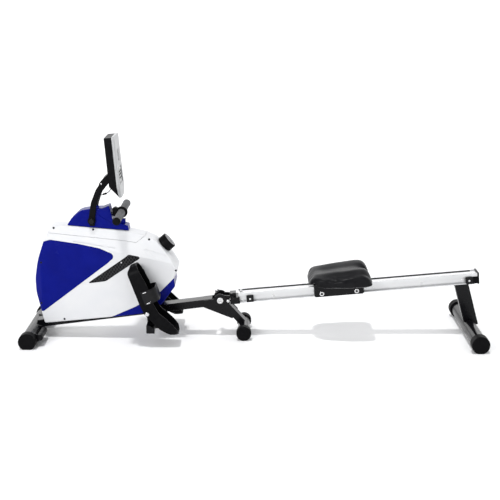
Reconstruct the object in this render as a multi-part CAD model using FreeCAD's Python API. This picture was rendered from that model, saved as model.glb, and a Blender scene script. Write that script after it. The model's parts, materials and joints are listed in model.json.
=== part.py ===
"""Folding magnetic rowing machine, in millimetres.

+X runs from the drive unit to the free end of the rail, +Z is up, and +Y is the right-hand side of
a rower seated facing the drive unit. The origin is on the floor, in the middle of the footprint.
"""
import FreeCAD, Part
import math
import os

# ---------------------------------------------------------------- driving dimensions
FRONT_FOOT_X = -922.0          # axis of the front stabiliser
FRONT_HALF = 222.0             # half its length
REAR_FOOT_X = 921.0            # axis of the rear stabiliser
REAR_HALF = 275.0
STAND_X = -37.0                # axis of the mid stand's short foot tube
STAND_HALF = 108.0
STAND_Z, STAND_CAP_R = 30.5, 31.0
STABILISER_R = 30.0

BEAM_SLOPE = math.atan(0.126)  # the main beam climbs from the front foot to the hinge
BEAM_TOP_AT_200 = 157.0        # height of its top face at x = -200
BEAM_W, BEAM_H = 60.0, 32.0

HINGE = (-137.0, 156.0)        # fold pivot, x and z
STOP_BOLT = (-103.5, 153.9)
STOP_BOSS_R = 8.5
PLUNGER = (-149.5, 171.5)      # index plunger beside the pivot
LEG_ANGLE = math.radians(48.0)

RAIL_SLOPE = 4.93              # degrees
RAIL_START = (-57.0, 143.1)    # lower left corner of the rail, x and z
RAIL_L, RAIL_W, RAIL_H = 1011.0, 66.0, 45.0
GROOVE_LOW, GROOVE_HIGH, GROOVE_DEPTH = 4.0, 31.0, 14.0
STOP_FRONT, STOP_REAR = 48.0, 970.0     # centres of the stop blocks along the rail
CARRIAGE = (319.0, 528.0)               # the carriage's two ends along the rail
ROLLER_X = (350.5, 497.0)
ROLLER_R, ROLLER_Z = 8.6, 13.0

SHROUD_HALF = 80.0             # half width of the housing at its widest
HOUSING_ROUND = 7.0            # radius along the housing's edges
SHELL_T, SKIN_T = 4.0, 1.8     # wall of the shells, and of the coloured panels let into them
FLYWHEEL = (-473.0, 285.0)
DRUM_R = 35.0
IDLER = (-602.0, 513.0)
IDLER_R = 9.0
STRAP_W, STRAP_T = 20.0, 2.0

PEDAL_PIVOT = (-430.0, 145.0)
PEDAL_MID, PEDAL_HALF = 145.0, 50.0
PEDAL_TOE_R = 36.0
PEDAL_HEEL_R = 42.0
PEDAL_TOP = (-503.0, 311.0)    # upper rear corner of the sole plate
PEDAL_LEAN = math.radians(20.0)

HANDLE = (-545.0, 529.0)
HANDLE_HALF, HANDLE_R = 190.0, 16.0
YOKE_PIVOT = (-666.0, 499.0)
TILT_PIVOT = (-603.0, 672.0)
CONSOLE_LEAN = 5.0             # degrees that the console's face leans back
CONSOLE_BASE = (-546.5, 598.0) # bottom of the joint between its rear housing and its bezel
CONSOLE_DEPTH = 33.0           # rear housing, back from that joint
BEZEL_DEPTH = 9.0              # bezel, forward from that joint
CONSOLE_TILT = 12.0            # the console tips this far either way on the yoke
LEAD_START = (-575, 1, 643)    # where the console's lead leaves its underside
LEAD_BEND = (-598, -8, 612)
LEAD_END = (-636, -34, 604)    # on the inner face of the yoke's left arm
LEAD_R = 1.6

V = FreeCAD.Vector
Y_AXIS = V(0, 1, 0)


# ---------------------------------------------------------------- shape helpers
def rounded_wire(points):
    """A closed wire in the XZ plane. A point is (x, z) or (x, z, corner radius)."""
    corners = []
    count = len(points)
    for i, point in enumerate(points):
        here = V(point[0], 0, point[1])
        radius = point[2] if len(point) > 2 else 0.0
        before, after = points[i - 1], points[(i + 1) % count]
        back = (V(before[0], 0, before[1]) - here).normalize()
        ahead = (V(after[0], 0, after[1]) - here).normalize()
        if radius <= 0:
            corners.append((here, here, here))
            continue
        half = back.getAngle(ahead) / 2
        reach = radius / math.tan(half)
        bisector = (back + ahead).normalize()
        middle = here + bisector * (radius / math.sin(half) - radius)
        corners.append((here + back * reach, middle, here + ahead * reach))
    edges = []
    for i, (start, middle, end) in enumerate(corners):
        if start.distanceToPoint(end) > 1e-6:
            edges.append(Part.Arc(start, middle, end).toShape())
        following = corners[(i + 1) % count][0]
        if end.distanceToPoint(following) > 1e-6:
            edges.append(Part.LineSegment(end, following).toShape())
    return Part.Wire(edges)


def prism(points, y0, y1):
    """The closed outline, given in X and Z, pushed from y0 to y1."""
    face = Part.Face(rounded_wire(points))
    face.translate(V(0, y0, 0))
    return face.extrude(V(0, y1 - y0, 0))


def rod(x, z, radius, y0, y1, bore=0.0):
    """A cylinder or tube along Y."""
    shape = Part.makeCylinder(radius, y1 - y0, V(x, y0, z), Y_AXIS)
    if bore > 0:
        shape = shape.cut(Part.makeCylinder(bore, y1 - y0, V(x, y0, z), Y_AXIS))
    return shape


def box(x0, x1, y0, y1, z0, z1):
    return Part.makeBox(x1 - x0, y1 - y0, z1 - z0, V(x0, y0, z0))


def half_space(point, normal, size=1600.0):
    """A large box that fills the side of a plane to which the normal points."""
    shape = Part.makeBox(size, size, size, V(-size / 2, -size / 2, 0))
    turn = FreeCAD.Rotation(V(0, 0, 1), normal)
    shape.Placement = FreeCAD.Placement(point, turn)
    return shape


def both_sides(shape):
    """The shape and its mirror image across the mid-plane."""
    return [shape, shape.mirror(V(0, 0, 0), Y_AXIS)]


def mirrored(shape):
    return shape.mirror(V(0, 0, 0), Y_AXIS)


def joined(shapes):
    whole = shapes[0]
    for shape in shapes[1:]:
        whole = whole.fuse(shape)
    return whole.removeSplitter()


def soften(shape, radius, wanted):
    """Round the edges that wanted(edge) picks, or as many of them as the kernel can."""
    edges = [edge for edge in shape.Edges if wanted(edge)]
    try:
        rounded = shape.makeFillet(radius, edges)
        if rounded.isValid():
            return rounded
    except Exception:
        pass
    for edge in edges:
        middle = edge.valueAt((edge.FirstParameter + edge.LastParameter) / 2)
        near = [e for e in shape.Edges if e.distToShape(Part.Vertex(middle))[0] < 1e-3]
        try:
            rounded = shape.makeFillet(radius, near[:1])
            if rounded.isValid():
                shape = rounded
        except Exception:
            continue
    return shape


def on_rail(shape):
    """Move a shape from the rail's own frame to the machine's."""
    shape = shape.copy()
    shape.rotate(V(0, 0, 0), Y_AXIS, -RAIL_SLOPE)
    shape.translate(V(RAIL_START[0], 0, RAIL_START[1]))
    return shape


def save(name, shapes):
    """Write one node. A node of several like pieces holds one solid for each."""
    if not isinstance(shapes, list):
        shapes = [shapes]
    solids = [solid for shape in shapes for solid in shape.Solids]
    for solid in solids:
        if not solid.isValid():
            print("not valid:", name)
    Part.makeCompound(solids).exportStep("parts/%s.step" % name)
    print("%-26s %2d solids %10.0f mm3" % (name, len(solids), sum(s.Volume for s in solids)))


# ---------------------------------------------------------------- frame
def beam_top(x):
    return BEAM_TOP_AT_200 + math.tan(BEAM_SLOPE) * (x + 200.0)


def beam_solid(x0, x1, half, grow=0.0):
    """A bar along the main beam's line, grown all round by the given amount."""
    drop = (BEAM_H + grow) / math.cos(BEAM_SLOPE)
    rise = grow / math.cos(BEAM_SLOPE)
    outline = [(x0, beam_top(x0) - drop), (x1, beam_top(x1) - drop),
               (x1, beam_top(x1) + rise), (x0, beam_top(x0) + rise)]
    return prism(outline, -half, half)


def main_beam():
    wall = 2.5
    outer = beam_solid(-912, -171, BEAM_W / 2)
    outer = soften(outer, 3, lambda e: e.Length > 500)
    hollow = beam_solid(-960, -140, BEAM_W / 2 - wall, -wall)
    hollow = hollow.cut(beam_solid(-1000, -100, 100, 0).cut(beam_solid(-1000, -100, 100, -wall)))
    foot = rod(FRONT_FOOT_X, STABILISER_R + 1, STABILISER_R, -60, 60)
    return outer.cut(hollow).cut(foot)


def front_stabiliser_tube():
    inner = STABILISER_R - 2
    end = FRONT_HALF - 4
    return rod(FRONT_FOOT_X, STABILISER_R + 1, STABILISER_R, -end, end, inner)


def foot_cap(x, height, radius, y_out, depth, tube_r, ridges=0):
    """A round plastic end cap with a flat sole on the floor, pushed over a tube's end."""
    cap = rod(x, height, radius, -y_out, -y_out + depth)
    cap = soften(cap, 3, lambda e: abs(e.CenterOfMass.y + y_out) < 0.1)
    for i in range(ridges):
        angle = 2 * math.pi * i / ridges
        gx = x + radius * math.cos(angle)
        gz = height + radius * math.sin(angle)
        cap = cap.cut(rod(gx, gz, 1.6, -y_out + 7, -y_out + depth + 1))
    cap = cap.cut(rod(x, height, tube_r, -y_out + 4, -y_out + depth + 1))
    return cap.cut(box(x - 60, x + 60, -y_out - 1, -y_out + depth + 1, -60, 0))


def front_foot_caps():
    return both_sides(foot_cap(FRONT_FOOT_X, STABILISER_R + 1, 36, FRONT_HALF, 38, STABILISER_R))


def mid_leg():
    """The short rectangular leg from the hinge down to the mid stand."""
    down = V(math.cos(LEG_ANGLE), 0, -math.sin(LEG_ANGLE))
    across = V(math.sin(LEG_ANGLE), 0, math.cos(LEG_ANGLE))
    top = V(-103.0, 0, 146.0) - across * 1.5
    corner = [top, top + down * 108, top + down * 108 - across * 29, top - across * 29 - down * 12]
    outline = [(p.x, p.z) for p in corner]
    leg = prism(outline, -BEAM_W / 2, BEAM_W / 2)
    leg = soften(leg, 4, lambda e: 90 < e.Length < 130)
    slim = [(p.x, p.z) for p in (top - across * 2.5 - down * 20, top + down * 130 - across * 2.5,
                                 top + down * 130 - across * 26.5, top - across * 26.5 - down * 30)]
    leg = leg.cut(prism(slim, -BEAM_W / 2 + 2.5, BEAM_W / 2 - 2.5))
    leg = leg.cut(rod(HINGE[0], HINGE[1], 32, -60, 60))
    leg = leg.cut(rod(STOP_BOLT[0], STOP_BOLT[1], 5, -60, 60))
    return leg.cut(rod(STAND_X, STAND_Z, 25, -60, 60))


def gusset_plates():
    """Two plates that tie beam, hinge and leg together, with a round ear about the pivot."""
    body = [(-206, 124.5), (-206, beam_top(-206) - 1), (-165, beam_top(-165) - 1, 12), (-150, 172),
            (-99, 168), (-97.3, 139.5), (-62, 100.7, 3), (-86, 76, 3)]
    plate = prism(body, -BEAM_W / 2 - 4, -BEAM_W / 2)
    ear = rod(HINGE[0], HINGE[1], 27, -BEAM_W / 2 - 4, -BEAM_W / 2)
    boss = rod(STOP_BOLT[0], STOP_BOLT[1], STOP_BOSS_R, -BEAM_W / 2 - 4, -BEAM_W / 2)
    trim = box(-160, -80, -60, 60, 156, 190).cut(rod(HINGE[0], HINGE[1], 27, -60, 60))
    trim = trim.cut(rod(STOP_BOLT[0], STOP_BOLT[1], STOP_BOSS_R, -60, 60))
    plate = joined([plate, ear, boss]).cut(trim)
    plate = plate.cut(rod(HINGE[0], HINGE[1], 8, -60, 60))
    plate = plate.cut(rod(STOP_BOLT[0], STOP_BOLT[1], 5, -60, 60))
    plain = plate
    holed = mirrored(plain).cut(rod(PLUNGER[0], PLUNGER[1], 6, 0, 60))
    return [plain, holed]


def mid_stand_tube():
    return rod(STAND_X, STAND_Z, 25, -STAND_HALF + 4, STAND_HALF - 4, 22.5)


def mid_stand_caps():
    return both_sides(foot_cap(STAND_X, STAND_Z, STAND_CAP_R, STAND_HALF, 34, 25, 26))


def hex_head(x, z, across, y0, y1):
    """A hexagonal bolt head along Y."""
    radius = across / math.sqrt(3)
    ring = []
    for i in range(6):
        angle = math.pi * i / 3
        ring.append((x + radius * math.cos(angle), z + radius * math.sin(angle)))
    return prism(ring, y0, y1)


def hinge_bolts():
    """The big fold pivot bolt with its collars, and the stop bolt that the rail bracket lands on."""
    x, z = HINGE
    pivot = rod(x, z, 7.95, -41, 41)
    for side in (-1, 1):
        low, high = sorted((side * 34, side * 41))
        head = soften(rod(x, z, 13.5, low, high), 1.5, lambda e: abs(abs(e.CenterOfMass.y) - 41) < 0.1)
        low, high = sorted((side * 37, side * 42))
        pivot = pivot.fuse(head).cut(hex_head(x, z, 12, low, high))
    stop = rod(STOP_BOLT[0], STOP_BOLT[1], 4.95, -40, 40)
    for side in (-1, 1):
        low, high = sorted((side * 34, side * 38.5))
        stop = stop.fuse(rod(STOP_BOLT[0], STOP_BOLT[1], 6.2, low, high))
    return [pivot.removeSplitter(), stop.removeSplitter()]


def lock_plunger():
    """Spring index plunger on the far gusset: pin, stem and pull knob."""
    x, z = PLUNGER
    pin = rod(x, z, 5.9, 29.5, 46)
    knob = soften(rod(x, z, 11, 46, 62), 3, lambda e: True)
    return joined([pin, knob])


# ---------------------------------------------------------------- housing
HOUSING = [(-833, 484, 12), (-507, 455, 200), (-447, 440, 60), (-402, 419, 60), (-338, 346, 90),
           (-311, 296, 7), (-327, 262, 20), (-323, 228, 10), (-380, 150, 60), (-455, 110, 160),
           (-594, 93, 300), (-876, 62, 8), (-886, 108, 40), (-909, 190, 120), (-912, 252, 200),
           (-897, 330, 300), (-866, 420, 60)]
FRONT_PANEL = [(-980, 100), (-876, 116, 3), (-603, 325, 14), (-564, 360, 16), (-634, 390, 60),
               (-722, 408, 200), (-838, 424, 20), (-868, 415, 6), (-980, 400)]
LOWER_TRIM = [(-600, 60), (-594, 94), (-492, 140, 160), (-386, 205, 60), (-329, 263), (-290, 268),
              (-290, 60)]
TOP_COVER = [(-900, 456), (-838, 450), (-529, 418, 60), (-482, 410.5, 8), (-444, 439, 20),
             (-426, 462), (-426, 560), (-900, 560)]
VENT = [(-690, 238, 3), (-611, 249, 30), (-466, 349, 5), (-471, 357, 5), (-513, 365, 12),
        (-527, 353, 30)]
DISH = [(-472, 394, 4), (-362, 361, 8), (-354, 339, 6), (-407, 353, 20)]
SCREWS = [(-824, 470), (-661, 463), (-429, 423), (-318, 298), (-791, 82), (-880, 326),
          (-886, 150)]


def housing_body(inset):
    """The housing's form, inset from its outer face and rounded along every edge."""
    return housing_core().makeOffsetShape(HOUSING_ROUND - inset, 1e-3, join=0)


def housing_core():
    """The sharp core, a rounding radius inside the housing: tapered nose, sides lean in on top."""
    inset = HOUSING_ROUND
    outline = Part.Face(rounded_wire(HOUSING)).makeOffset2D(-inset)
    outline.translate(V(0, -120, 0))
    body = outline.extrude(V(0, 240, 0))
    taper = V(-0.0575, -1, 0).normalize()
    lean = V(0.0262, 1, 0.412).normalize()
    rear_lean = V(0.0944, 1, 0.412).normalize()
    for side in (-1, 1):
        out = V(taper.x, -taper.y * side, 0)
        body = body.cut(half_space(V(-450, side * SHROUD_HALF, 250) - out * inset, out))
        out = V(0, side, 0)
        body = body.cut(half_space(V(0, side * (SHROUD_HALF - inset), 0), out))
        out = V(lean.x, side * lean.y, lean.z)
        body = body.cut(half_space(V(-443, side * 45, 437) - out * inset, out))
        out = V(rear_lean.x, side * rear_lean.y, rear_lean.z)
        body = body.cut(half_space(V(-443, side * SHROUD_HALF, 352) - out * inset, out))
        out = V(-0.75, side, 0).normalize()
        body = body.cut(half_space(V(-911, side * 34, 250) - out * inset, out))
    return body.removeSplitter().Solids[0]


def side_half(shape, side):
    """The part of a shape on one side of the mid-plane."""
    low, high = (-200, 0) if side < 0 else (0, 200)
    return shape.common(box(-1000, -200, low, high, 0, 700))


def housing_pieces():
    """Both shells, the panels let into them, the top cover and the vent grilles."""
    outer = housing_body(0)
    skin = outer.cut(housing_body(SKIN_T))
    wall = outer.cut(housing_body(SHELL_T))
    beam_gap = beam_solid(-960, -140, BEAM_W / 2 + 0.5, 0.5)
    seats = screw_seats() + both_sides(cap_seat())
    for room in [beam_gap] + seats:
        wall = wall.cut(room)
        skin = skin.cut(room)
    axle_gap = rod(PEDAL_PIVOT[0], PEDAL_PIVOT[1], 13, -120, 120)
    strap_slot = box(-640, -548, -16, 16, 440, 500)
    post_gap = box(-683, -649, -17, 17, 440, 500)
    foot_gap = rod(FRONT_FOOT_X, STABILISER_R + 1, STABILISER_R + 1, -120, 120)
    cover_zone = prism(TOP_COVER, -120, 120)
    panel_zone = skin.common(prism(FRONT_PANEL, -120, 120))
    trim_zone = skin.common(prism(LOWER_TRIM, -120, 120))
    vent_zone = prism(VENT, -120, 120)
    groove_zone = accent_grooves().fuse(prism(DISH, -120, 120).cut(housing_body(1.6)))
    seat = V(KNOB_SEAT[0], 0, KNOB_SEAT[1])
    knob_hole = Part.makeCylinder(7, 60, seat - knob_normal() * 25, knob_normal())
    shells = wall.cut(cover_zone).cut(panel_zone).cut(trim_zone).cut(vent_zone)
    shells = shells.cut(axle_gap).cut(foot_gap).cut(groove_zone).cut(knob_hole)
    gap = 0.5
    seam = 1.1
    cover = wall.common(shrunk_prism(TOP_COVER, seam)).cut(strap_slot).cut(post_gap)
    panels = skin.common(shrunk_prism(FRONT_PANEL, gap)).cut(foot_gap)
    trims = skin.common(shrunk_prism(LOWER_TRIM, gap)).cut(axle_gap)
    inner_layer = housing_body(0.8).cut(housing_body(3.0))
    grilles = inner_layer.common(shrunk_prism(VENT, 0.4))
    pieces = {"top_cover": [cover]}
    for name, whole in (("shell", shells), ("blue_panel", panels)):
        pieces["left_" + name] = [side_half(whole, -1)]
        pieces["right_" + name] = [side_half(whole, 1)]
    pieces["lower_trims"] = [side_half(trims, -1), side_half(trims, 1)]
    pieces["vent_grilles"] = [side_half(grilles, -1), side_half(grilles, 1)]
    return pieces


def shrunk_prism(points, gap):
    face = Part.Face(rounded_wire(points)).makeOffset2D(-gap)
    face.translate(V(0, -120, 0))
    return face.extrude(V(0, 240, 0))


def accent_grooves():
    """Two thin grooves just under the shoulder line of each shell."""
    zone = None
    core = housing_body(2.4)
    for x0, z0, x1, z1 in ((-741, 418, -615, 398), (-598, 395.5, -569, 390)):
        strip = prism([(x0, z0 - 2), (x1, z1 - 2), (x1, z1 + 2), (x0, z0 + 2)], -120, 120)
        strip = strip.cut(core)
        zone = strip if zone is None else zone.fuse(strip)
    return zone


def on_housing_side(x, z):
    """Half width of the housing's outer face at a point of its side."""
    flat = SHROUD_HALF if x > -450 else SHROUD_HALF + 0.0575 * (x + 450)
    leaning = 45 - 0.412 * (z - 437) - 0.0262 * (x + 443)
    rear_leaning = SHROUD_HALF - 0.412 * (z - 352) - 0.0944 * (x + 443)
    nose = 34 + 0.75 * (x + 911)
    return min(flat, leaning, rear_leaning, nose)


def cap_seat():
    """The shallow round pocket in a shell's side that a side cap is clipped into."""
    x, z = FLYWHEEL
    face = on_housing_side(x, z)
    return rod(x, z, 28.1, face - 2.05, face + 20)


def side_caps():
    """A plain round cap on each side over the flywheel axle: low ring with a domed middle."""
    x, z = FLYWHEEL
    face = on_housing_side(x, z)
    ring = rod(x, z, 28, face - 2, face + 3.5)
    ring = soften(ring, 1.2, lambda e: abs(e.CenterOfMass.y - face - 3.5) < 0.1)
    dome = Part.makeSphere(60, V(x, face - 54, z)).common(rod(x, z, 21.7, face, face + 20))
    return both_sides(ring.cut(rod(x, z, 23, face + 2.2, face + 9)).fuse(dome).removeSplitter())


def screw_seats():
    """Round seats that let the screws into the housing's side faces."""
    seats = []
    for x, z in SCREWS:
        face = on_housing_side(x, z)
        for side in (-1, 1):
            low, high = sorted((side * (face - 3.05), side * (face + 6)))
            seats.append(rod(x, z, 4.3, low, high))
    return seats


def shroud_screws():
    screws = []
    for x, z in SCREWS:
        face = on_housing_side(x, z)
        for side in (-1, 1):
            low, high = sorted((side * (face - 3), side * (face + 1.2)))
            screw = rod(x, z, 4.2, low, high)
            slot = box(x - 3, x + 3, *sorted((side * (face + 0.2), side * (face + 2))), z - 0.5, z + 0.5)
            screws.append(screw.cut(slot))
    return screws


# ---------------------------------------------------------------- drive, inside the housing
def inner_frame():
    """Flywheel plates with their axle, and the post that carries the console yoke."""
    x, z = FLYWHEEL
    outline = [(x - 40, beam_top(x - 40) - 18), (x + 45, beam_top(x + 45) - 18),
               (x + 18, z + 18, 10), (x - 18, z + 18, 10)]
    inside = housing_body(SHELL_T + 0.5)
    plates = []
    for side in (-1, 1):
        low, high = sorted((side * BEAM_W / 2, side * (BEAM_W / 2 + 4)))
        plate = prism(outline, low, high).common(inside)
        plates.append(plate.cut(rod(PEDAL_PIVOT[0], PEDAL_PIVOT[1], 13.5, -60, 60)))
    drive_frame = joined(plates + [rod(x, z, 7.95, -40, 40)])
    post_x = YOKE_PIVOT[0]
    post = box(post_x - 15, post_x + 15, -15, 15, 60, 514)
    post = post.cut(box(post_x - 13, post_x + 13, -13, 13, 0, 511))
    post = post.cut(beam_solid(-960, -140, 60))
    post = post.cut(rod(YOKE_PIVOT[0], YOKE_PIVOT[1], 6, -60, 60))
    return [drive_frame, post.Solids[-1]]


def flywheel():
    """Iron brake wheel beside the drum, with a heavy rim."""
    x, z = FLYWHEEL
    wheel = rod(x, z, 122, -28, -13.5)
    wheel = wheel.cut(rod(x, z, 96, -30, -24)).cut(rod(x, z, 96, -17.5, -10))
    return joined([wheel, rod(x, z, 22, -28, -13)]).cut(rod(x, z, 8, -60, 60))


def strap_drum():
    """Flanged drum that the strap winds on, with the one-way clutch in its bore."""
    x, z = FLYWHEEL
    core = rod(x, z, DRUM_R - 1.5, -12, 12)
    for side in (-1, 1):
        low, high = sorted((side * 10.5, side * 12))
        core = core.fuse(rod(x, z, DRUM_R + 7, low, high))
    return core.cut(rod(x, z, 8, -60, 60)).removeSplitter()


def strap_idler():
    x, z = IDLER
    return rod(x, z, IDLER_R - 1.2, -13, 13, 3)


def pull_strap():
    """Woven strap: up from the drum, over the idler and out to the handle."""
    dx, dz = IDLER[0] - FLYWHEEL[0], IDLER[1] - FLYWHEEL[1]
    tilt = math.asin((DRUM_R - IDLER_R) / math.hypot(dx, dz))
    heading = math.atan2(dz, dx) - tilt
    up = V(math.cos(heading), 0, math.sin(heading))
    out = V(math.cos(heading + math.pi / 2), 0, math.sin(heading + math.pi / 2))
    out = out if out.x < 0 else out * -1
    low = V(FLYWHEEL[0], 0, FLYWHEEL[1]) + out * DRUM_R
    level = IDLER[1] + IDLER_R
    end = HANDLE[0] - 24
    half = STRAP_T / 2
    outer_low, inner_low = low + out * half, low - out * half
    outer_corner = outer_low + up * ((level + half - outer_low.z) / up.z)
    inner_corner = inner_low + up * ((level - half - inner_low.z) / up.z)
    outline = [(outer_low.x, outer_low.z), (outer_corner.x, outer_corner.z, IDLER_R + half),
               (end, level + half), (end, level - half),
               (inner_corner.x, inner_corner.z, IDLER_R - half), (inner_low.x, inner_low.z)]
    return prism(outline, -STRAP_W / 2, STRAP_W / 2)


# ---------------------------------------------------------------- tension knob
KNOB_HEIGHT = 34.0
KNOB_SEAT = (-374.0, 387.0)    # middle of the knob's base on the sloping rear face


def knob_normal():
    run, drop = 64.0, 73.0
    return V(drop, 0, run).normalize()


def tension_knob():
    """Ribbed brake adjuster knob with a shaft through the housing."""
    out = knob_normal()
    seat = V(KNOB_SEAT[0], 0, KNOB_SEAT[1])
    body = Part.makeCylinder(34.5, KNOB_HEIGHT, seat + out * 2.5, out)
    body = soften(body, 2.5, lambda e: e.Length > 100)
    count = 30
    side = out.cross(Y_AXIS)
    for i in range(count):
        angle = 2 * math.pi * i / count
        spoke = side * math.cos(angle) + Y_AXIS * math.sin(angle)
        body = body.cut(Part.makeCylinder(1.5, KNOB_HEIGHT - 6, seat + spoke * 35 + out * 2, out))
    top = seat + out * (KNOB_HEIGHT + 1)
    body = body.cut(Part.makeCylinder(28, 2, top, out))
    shaft = Part.makeCylinder(5, 24, seat - out * 20, out)
    return body.fuse(shaft).removeSplitter()


def knob_face():
    """Grey dial plate with a raised grip bar, let into the knob."""
    out = knob_normal()
    seat = V(KNOB_SEAT[0], 0, KNOB_SEAT[1])
    top = seat + out * (KNOB_HEIGHT + 1)
    plate = Part.makeCylinder(27.8, 2, top, out)
    side = out.cross(Y_AXIS)
    corners = []
    for a, b in ((-22, -3.5), (22, -3.5), (22, 3.5), (-22, 3.5)):
        corners.append(top + out * 2 + side * a + Y_AXIS * b)
    bar = Part.Face(Part.makePolygon(corners + corners[:1])).extrude(out * 1.2)
    return plate.fuse(bar).removeSplitter()


# ---------------------------------------------------------------- handle and its cradle
CRADLE = [(-770, 479.4, 3), (-752, 507, 40), (-716, 541, 60), (-672, 549, 60), (-622, 551, 20),
          (-594, 562, 3), (-586, 529, 40), (-580, 500, 14), (-549, 487, 40), (-517, 477, 3),
          (-514, 456.8, 2)]
CREASE = [(-645, 531), (-612, 509), (-580, 487.5, 60), (-540, 477), (-528, 475)]


def handle_cradle():
    """Hollow cover over the strap outlet, with a step that the handle lies on."""
    half = 33.0
    body = prism(CRADLE, -half, half)
    body = soften(body, 3.5, lambda e: abs(abs(e.CenterOfMass.y) - half) < 0.1)
    inner = Part.Face(rounded_wire(CRADLE)).makeOffset2D(-2.6)
    inner.translate(V(0, -half + 2.6, 0))
    inner = inner.extrude(V(0, 2 * (half - 2.6), 0))
    body = body.cut(inner).cut(box(-760, -530, -half + 2.6, half - 2.6, 440, 478))
    body = body.cut(box(-700, -570, -14, 14, 512, 531).cut(box(-700, -600, -14, 14, 500, 540)))
    body = body.cut(rod(YOKE_PIVOT[0], YOKE_PIVOT[1], 6, -60, 60))
    body = body.cut(box(-683, -649, -17, 17, 440, 476))
    rest = prism([(-556, 480), (-530, 474), (-530, 500), (-556, 504)], -9, 9)
    rest = rest.cut(rod(HANDLE[0], HANDLE[1], 24.6, -20, 20))
    rest = rest.cut(inner)
    idler_pin = rod(IDLER[0], IDLER[1], 2.95, -half + 1, half - 1)
    crease = prism(CREASE + [(p[0] - 1, p[1] - 2.2) for p in reversed(CREASE)], -60, 60)
    crease = crease.cut(box(-760, -500, -half + 1, half - 1, 440, 560))
    return joined([body, rest, idler_pin]).cut(crease)


def handle_bar():
    return rod(HANDLE[0], HANDLE[1], 11, -HANDLE_HALF + 3, HANDLE_HALF - 3, 9)


def handle_grips():
    grip = rod(HANDLE[0], HANDLE[1], HANDLE_R, -HANDLE_HALF + 6, -14, 11)
    return both_sides(soften(grip, 1.5, lambda e: e.Length > 90))


def handle_end_caps():
    cap = rod(HANDLE[0], HANDLE[1], HANDLE_R + 0.6, -HANDLE_HALF, -HANDLE_HALF + 6)
    cap = cap.cut(rod(HANDLE[0], HANDLE[1], 11, -HANDLE_HALF + 3, -HANDLE_HALF + 7))
    return both_sides(soften(cap, 1.2, lambda e: abs(e.CenterOfMass.y + HANDLE_HALF) < 0.1))


def handle_ring():
    """Collar in the middle of the handle, with the block that the strap is clamped in."""
    x, z = HANDLE
    collar = rod(x, z, 24, -5, 5)
    sleeve = rod(x, z, 15, -14, 14)
    lug = prism([(x - 39, z + 16, 4), (x - 27, z + 23, 5), (x - 17, z + 19, 4), (x - 8, z + 5),
                 (x - 8, z - 17), (x - 34, z - 17, 3)], -12, 12)
    lug = soften(lug, 2, lambda e: abs(abs(e.CenterOfMass.y) - 12) < 0.1)
    ring = joined([collar, sleeve, lug]).cut(rod(x, z, 11, -20, 20))
    slot = box(x - 60, x - 24, -10.3, 10.3, IDLER[1] + IDLER_R - 1.1, IDLER[1] + IDLER_R + 1.1)
    return ring.cut(slot)


# ---------------------------------------------------------------- pedals
def on_pedal(shape):
    """Move a shape from the pedal's frame (X down the sole, Z out of it) to the machine's."""
    shape = shape.copy()
    shape.rotate(V(0, 0, 0), Y_AXIS, 90 - math.degrees(PEDAL_LEAN))
    shape.translate(V(PEDAL_TOP[0], -PEDAL_MID, PEDAL_TOP[1]))
    return shape


def pedal_plan(inset):
    """The pedal's outline seen square to its sole, with a round toe and heel."""
    half = PEDAL_HALF - inset
    toe, heel = PEDAL_TOE_R - inset, PEDAL_HEEL_R - inset
    corners = [(-22 + inset, -half, toe), (315 - inset, -half, heel), (315 - inset, half, heel),
               (-22 + inset, half, toe)]
    plan = Part.Face(rounded_wire(corners))
    plan.rotate(V(0, 0, 0), V(1, 0, 0), -90)
    plan.translate(V(0, 0, -30))
    return plan.extrude(V(0, 0, 220))


def pedal():
    """Moulded foot tray: sole, low side walls and a deep heel cup."""
    outer = [(-22, 40, 8), (-19, -4, 26), (135, -4, 60), (182, 0, 60), (262, 36, 60), (300, 68, 14),
             (315, 99, 5), (290, 101, 10), (262, 92, 60), (228, 76, 40), (196, 57, 40), (150, 50, 30),
             (75, 54, 60), (20, 47, 60)]
    tray = [(-22, 5), (182, 5, 60), (258, 41, 50), (294, 74, 14), (309, 105), (309, 150), (-22, 150)]
    body = prism(outer, -PEDAL_HALF, PEDAL_HALF)
    body = body.common(pedal_plan(0))
    body = body.cut(prism(tray, -PEDAL_HALF, PEDAL_HALF).common(pedal_plan(4)))
    for i in range(9):
        s = 8 + 18 * i
        body = body.cut(box(s, s + 3, -PEDAL_HALF + 10, PEDAL_HALF - 10, 2.5, 6))
    body = on_pedal(body)
    return body.cut(rod(PEDAL_PIVOT[0], PEDAL_PIVOT[1], 8.05, -400, 400))


def foot_strap():
    """Wide strap that arches over the foot from wall to wall."""
    thick, bend = 2.6, 25.0
    foot, crown = 18.0, 80.0
    half = PEDAL_HALF + thick
    outer = prism([(-half, foot), (half, foot), (half, crown, bend), (-half, crown, bend)], -144, -88)
    inner = prism([(-PEDAL_HALF, 0), (PEDAL_HALF, 0), (PEDAL_HALF, crown - thick, bend - thick),
                   (-PEDAL_HALF, crown - thick, bend - thick)], -150, -80)
    band = outer.cut(inner)
    band.rotate(V(0, 0, 0), V(0, 0, 1), 90)
    return on_pedal(band)


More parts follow.
